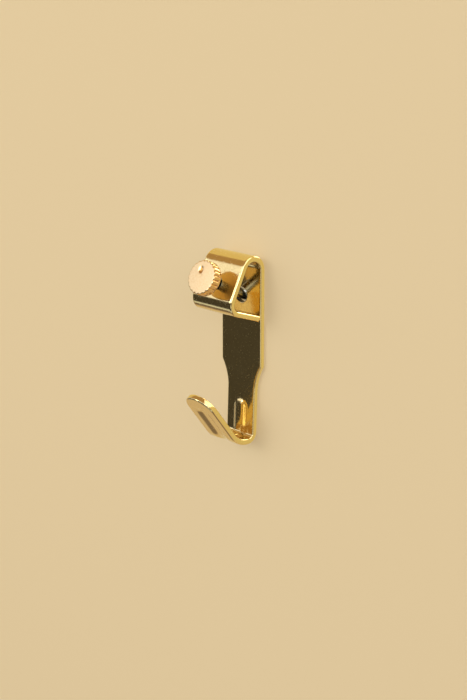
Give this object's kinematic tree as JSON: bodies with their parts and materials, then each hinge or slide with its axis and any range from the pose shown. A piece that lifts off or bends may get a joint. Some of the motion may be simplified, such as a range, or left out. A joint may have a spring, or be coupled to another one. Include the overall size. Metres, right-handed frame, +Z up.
{
  "type": "picture hook",
  "caption": "Picture hook folded from a polished brass-plated strip: closed loop on top, beaded round-tipped lip below, and a slanting steel nail with a serrated head.",
  "frame": {"origin": "the point of the wall plane that the nail's axis passes through, on the back of the plate", "axes": "+X across the strip, +Y into the wall, +Z up"},
  "size_m": [0.0102, 0.0266, 0.0373],
  "materials": {
    "strip_brass": "polished plating",
    "pin_steel": "dark hardened",
    "head_brass": "turned, satin face"
  },
  "bodies": {
    "root": {"hook_strip": "strip_brass", "nail_pin": "pin_steel", "nail_head": "head_brass"}
  },
  "joints": []
}
